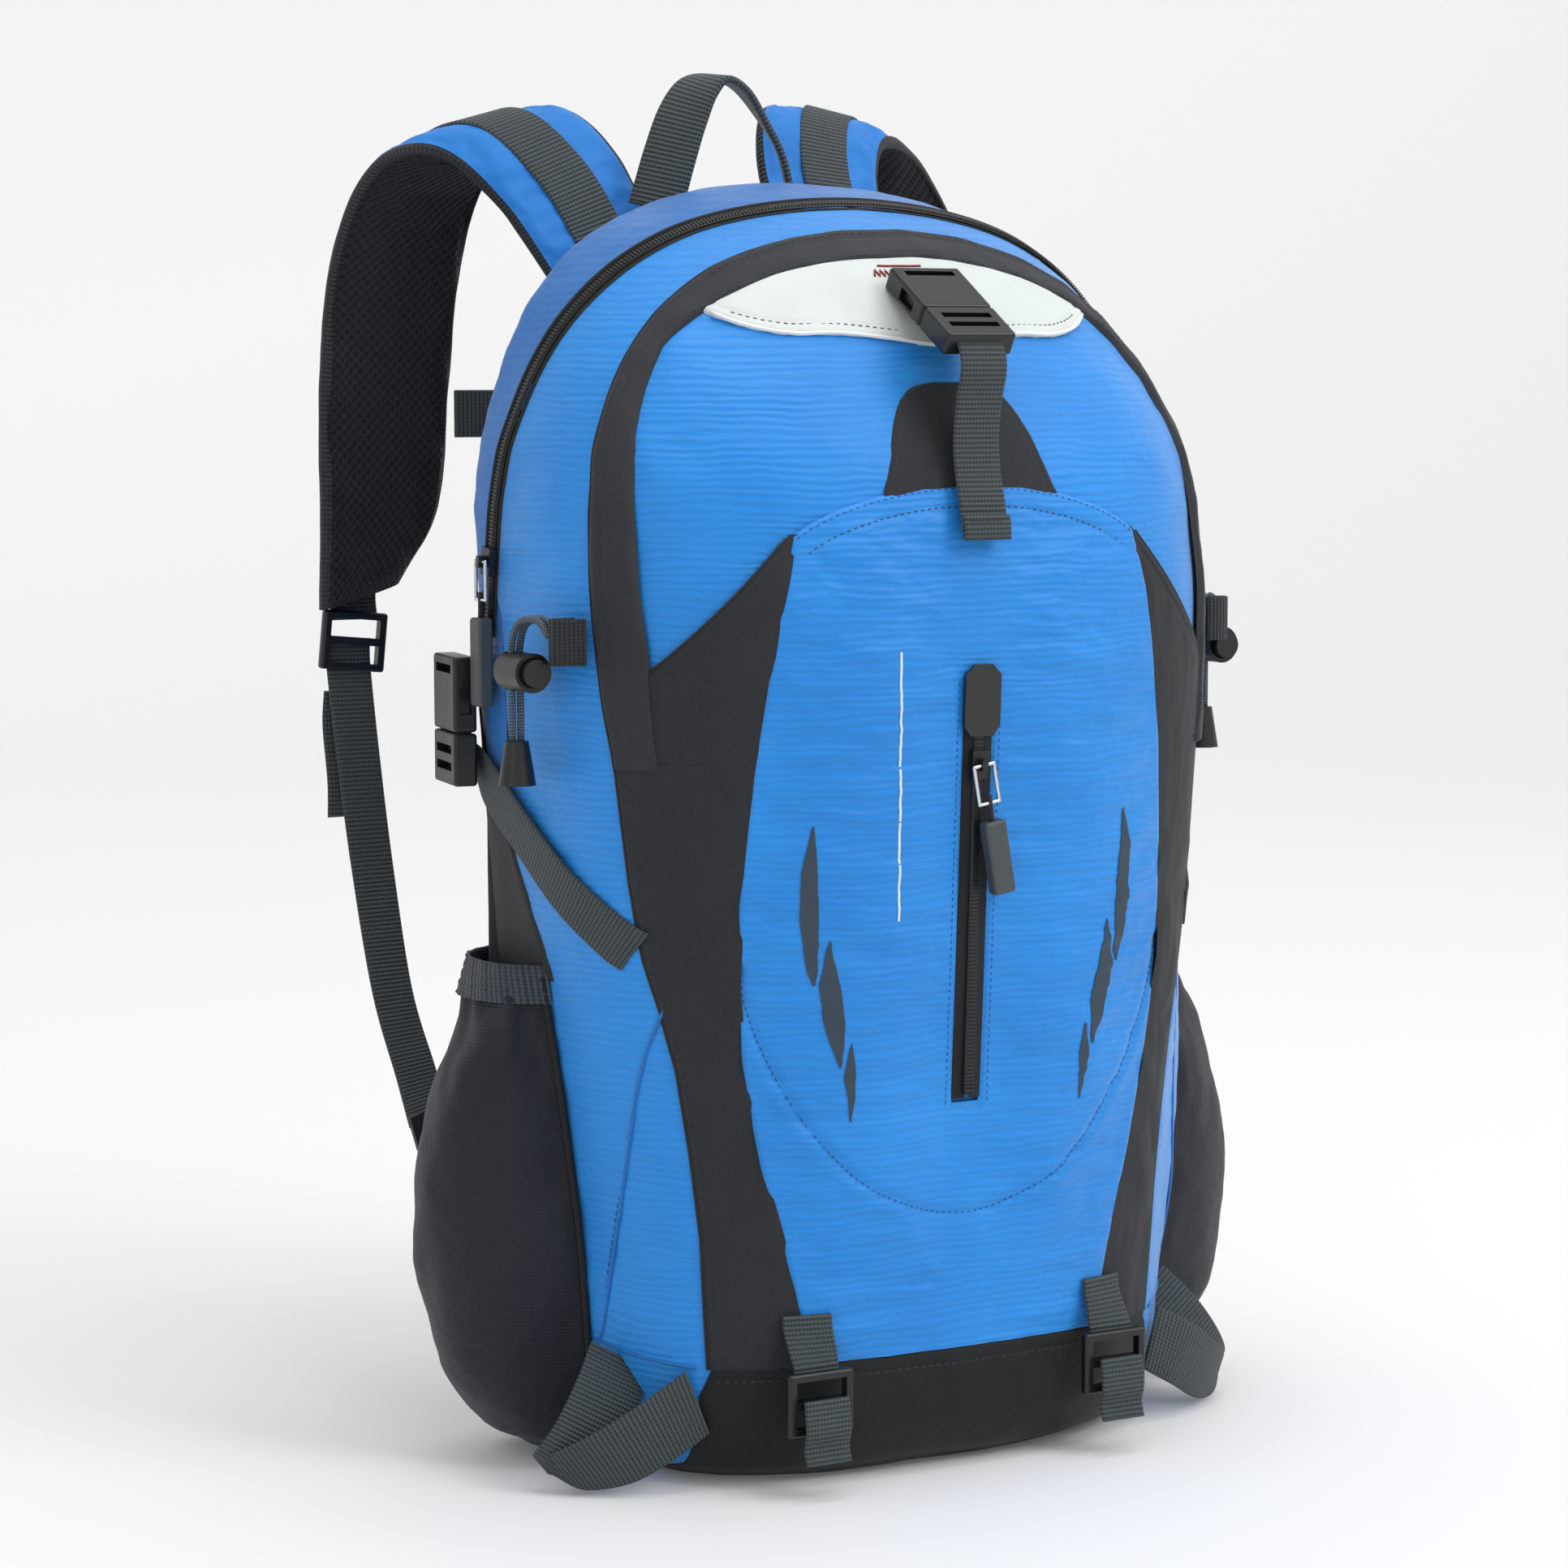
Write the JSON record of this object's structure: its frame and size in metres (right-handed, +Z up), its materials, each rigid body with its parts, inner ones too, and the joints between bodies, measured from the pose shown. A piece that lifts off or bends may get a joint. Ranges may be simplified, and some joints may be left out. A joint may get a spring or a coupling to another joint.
{
  "type": "hiking daypack",
  "caption": "Soft hiking daypack: zipped main compartment with fold-forward hood, front zip pocket, side mesh pockets, padded shoulder straps, buckled straps and haul loop.",
  "frame": {"origin": "on the floor under the middle of the bag's base panel, where the standing pack rests", "axes": "+Z up, -Y the front of the pack (away from the wearer), +Y the wearer's side, +X across to the right seen from the front"},
  "size_m": [0.366, 0.2671, 0.5553],
  "materials": {
    "azure_nylon": "fine ribbed ripstop",
    "charcoal_nylon": "plain weave",
    "leatherette": "smooth",
    "webbing": "ribbed webbing",
    "mesh_knit": "open knit",
    "zip_tape": "zip tape and coil",
    "black_plastic": "moulded",
    "bright_wire": "polished wire",
    "black_cord": "braided cord",
    "soft_rubber": "moulded"
  },
  "bodies": {
    "bag": {"anchor_tabs": "charcoal_nylon", "back_pads": "mesh_knit", "base_panel": "charcoal_nylon", "base_webbing": "webbing", "compression_straps": "webbing", "cord_ends": "black_plastic", "corner_loops": "webbing", "front_pocket": "azure_nylon", "front_shell": "azure_nylon", "front_zip_coil": "zip_tape", "front_zip_tape": "zip_tape", "lower_webbing": "webbing", "main_zip": "zip_tape", "mesh_pocket_left": "mesh_knit", "mesh_pocket_right": "mesh_knit", "pocket_hems": "mesh_knit", "pole_cords": "black_cord", "pole_tabs": "webbing", "rear_shell": "azure_nylon", "side_panels": "charcoal_nylon", "side_sockets": "black_plastic", "sleeve": "charcoal_nylon", "storm_flap_ends": "charcoal_nylon", "zip_garage": "soft_rubber"},
    "hood": {"hood_shell": "azure_nylon", "storm_flap": "charcoal_nylon", "top_patch": "leatherette", "strap_tab": "charcoal_nylon", "pocket_top_band": "azure_nylon", "top_strap": "webbing", "top_strap_anchor": "webbing", "top_socket": "black_plastic"},
    "top_prong": {"top_prongs": "black_plastic"},
    "front_slider": {"front_slider": "black_plastic"},
    "front_pull": {"front_pull_ring": "bright_wire", "front_pull_cord": "black_cord", "front_pull_tab": "soft_rubber"},
    "main_slider": {"main_slider": "black_plastic"},
    "main_pull": {"main_pull_ring": "bright_wire", "main_pull_cord": "black_cord", "main_pull_tab": "soft_rubber"},
    "side_prong_left": {"side_prongs_left": "black_plastic"},
    "side_prong_right": {"side_prongs_right": "black_plastic"},
    "cord_lock_left": {"cord_lock_left": "black_plastic"},
    "cord_lock_right": {"cord_lock_right": "black_plastic"},
    "lock_button_left": {"lock_button_left": "black_plastic"},
    "lock_button_right": {"lock_button_right": "black_plastic"},
    "haul_loop": {"haul_loop": "webbing"},
    "strap_left": {"shoulder_pad_left": "azure_nylon", "strap_webbing_left": "webbing", "strap_lock_left": "black_plastic", "sternum_webbing_left": "webbing", "sternum_socket": "black_plastic"},
    "strap_right": {"shoulder_pad_right": "azure_nylon", "strap_webbing_right": "webbing", "strap_lock_right": "black_plastic", "sternum_webbing_right": "webbing"},
    "sternum_prong": {"sternum_prongs": "black_plastic"},
    "base_lock_left": {"base_lock_left": "black_plastic"},
    "base_lock_right": {"base_lock_right": "black_plastic"}
  },
  "joints": [
    {"name": "hood_fold", "type": "hinge", "parent": "bag", "child": "hood", "pos_m": [0, -0.1016, 0.345], "axis": [1, 0, 0], "range_deg": [0, 65]},
    {"name": "top_buckle_release", "type": "slide", "parent": "hood", "child": "top_prong", "axis": [0, -0.8601, -0.5101], "range_m": [0, 0.024]},
    {"name": "front_zip_slide", "type": "slide", "parent": "bag", "child": "front_slider", "axis": [0, 0.0555, -0.9985], "range_m": [0, 0.122]},
    {"name": "front_pull_swing", "type": "hinge", "parent": "front_slider", "child": "front_pull", "pos_m": [0, -0.10276, 0.28285], "axis": [-0.9848, 0.0096, -0.1734], "range_deg": [-1, 100]},
    {"name": "main_zip_slide", "type": "slide", "parent": "bag", "child": "main_slider", "axis": [0, -0.1483, 0.9889], "range_m": [0, 0.012]},
    {"name": "main_pull_swing", "type": "hinge", "parent": "main_slider", "child": "main_pull", "pos_m": [-0.1547, 0.0232, 0.36], "axis": [0, 1, 0], "range_deg": [-1, 100]},
    {"name": "side_buckle_release_left", "type": "slide", "parent": "bag", "child": "side_prong_left", "axis": [0, 0, -1], "range_m": [0, 0.024]},
    {"name": "cord_lock_slide_left", "type": "slide", "parent": "bag", "child": "cord_lock_left", "axis": [0, 0, -1], "range_m": [0, 0.011]},
    {"name": "lock_button_press_left", "type": "slide", "parent": "cord_lock_left", "child": "lock_button_left", "axis": [0, 1, 0], "range_m": [0, 0.003], "stiffness_N_per_m": 250, "springref_m": -0.001},
    {"name": "side_buckle_release_right", "type": "slide", "parent": "bag", "child": "side_prong_right", "axis": [0, 0, -1], "range_m": [0, 0.024]},
    {"name": "cord_lock_slide_right", "type": "slide", "parent": "bag", "child": "cord_lock_right", "axis": [0, 0, -1], "range_m": [0, 0.011]},
    {"name": "lock_button_press_right", "type": "slide", "parent": "cord_lock_right", "child": "lock_button_right", "axis": [0, 1, 0], "range_m": [0, 0.003], "stiffness_N_per_m": 250, "springref_m": -0.001},
    {"name": "haul_loop_fold", "type": "hinge", "parent": "bag", "child": "haul_loop", "pos_m": [-0.0215, 0.0608, 0.5093], "axis": [1, 0, 0], "range_deg": [0, 50]},
    {"name": "shoulder_left_swing", "type": "hinge", "parent": "bag", "child": "strap_left", "pos_m": [-0.07, 0.07, 0.466], "axis": [1, 0, 0], "range_deg": [0, 8]},
    {"name": "shoulder_right_swing", "type": "hinge", "parent": "bag", "child": "strap_right", "pos_m": [0.042, 0.07, 0.466], "axis": [1, 0, 0], "range_deg": [0, 8]},
    {"name": "sternum_release", "type": "slide", "parent": "strap_right", "child": "sternum_prong", "axis": [1, 0, 0], "range_m": [0, 0.024]},
    {"name": "base_lock_swing_left", "type": "hinge", "parent": "bag", "child": "base_lock_left", "pos_m": [-0.068, -0.0936, 0.0502], "axis": [-1, 0, 0], "range_deg": [-1, 60]},
    {"name": "base_lock_swing_right", "type": "hinge", "parent": "bag", "child": "base_lock_right", "pos_m": [0.068, -0.0936, 0.0502], "axis": [-1, 0, 0], "range_deg": [-1, 60]}
  ],
  "couplings": [
    {"joint": "shoulder_right_swing", "follows": "shoulder_left_swing", "ratio": 1}
  ]
}
